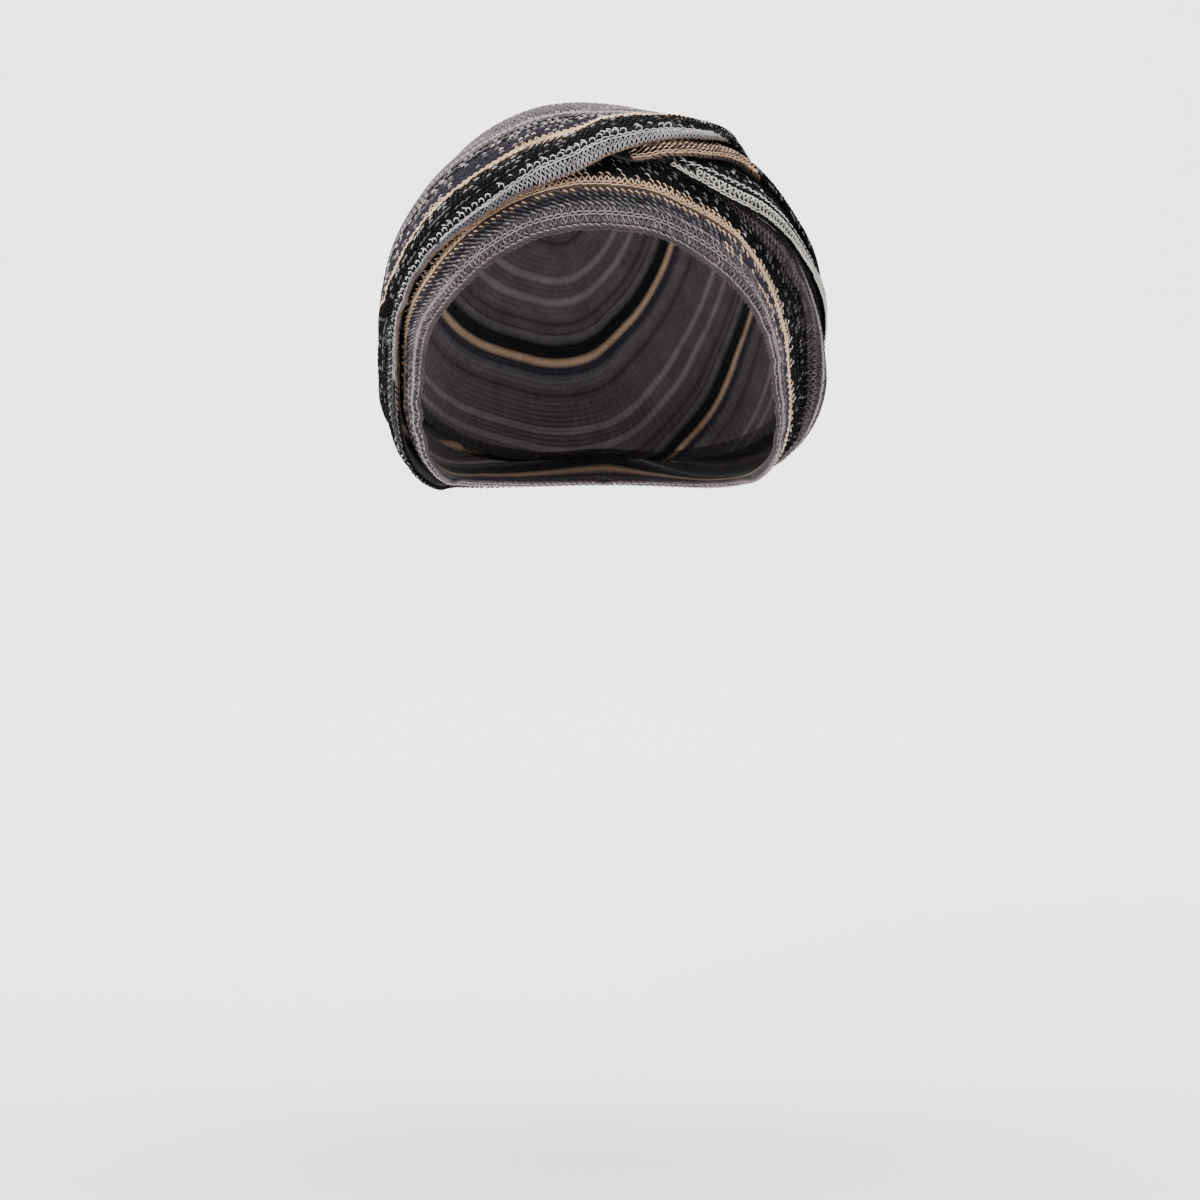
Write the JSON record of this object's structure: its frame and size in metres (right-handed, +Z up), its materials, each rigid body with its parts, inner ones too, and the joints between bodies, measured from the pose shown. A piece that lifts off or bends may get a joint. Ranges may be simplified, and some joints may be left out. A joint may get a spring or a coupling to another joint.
{
  "type": "turban headwrap",
  "caption": "Knitted turban headwrap: a soft dome with a wide brow band and folded wraps that cross over the front, kept in the form it has when worn.",
  "frame": {"origin": "the point on the inside of the crown that the top of the wearer's head bears on", "axes": "+Z up, out through the crown; -Y the way the face looks; +X towards the wearer's left ear"},
  "size_m": [0.2022, 0.1983, 0.1772],
  "materials": {
    "crown_knit": "mauve-grey knitted cotton and wool yarn, matt",
    "band_crochet": "crocheted rows in mauve, light mauve, navy, black and tan yarn, matt",
    "hem_yarn": "mauve-brown chain-stitch edging, matt",
    "pleat_crochet": "openwork rows in tan, sage and white yarn over black, matt",
    "wrap_crochet": "lilac-grey openwork and black rows with white and tan ticks, matt"
  },
  "bodies": {
    "root": {"crown": "crown_knit", "brow_band": "band_crochet", "brow_hem": "hem_yarn", "right_pleat": "pleat_crochet", "centre_pleat": "pleat_crochet", "left_wrap": "wrap_crochet"}
  },
  "joints": []
}
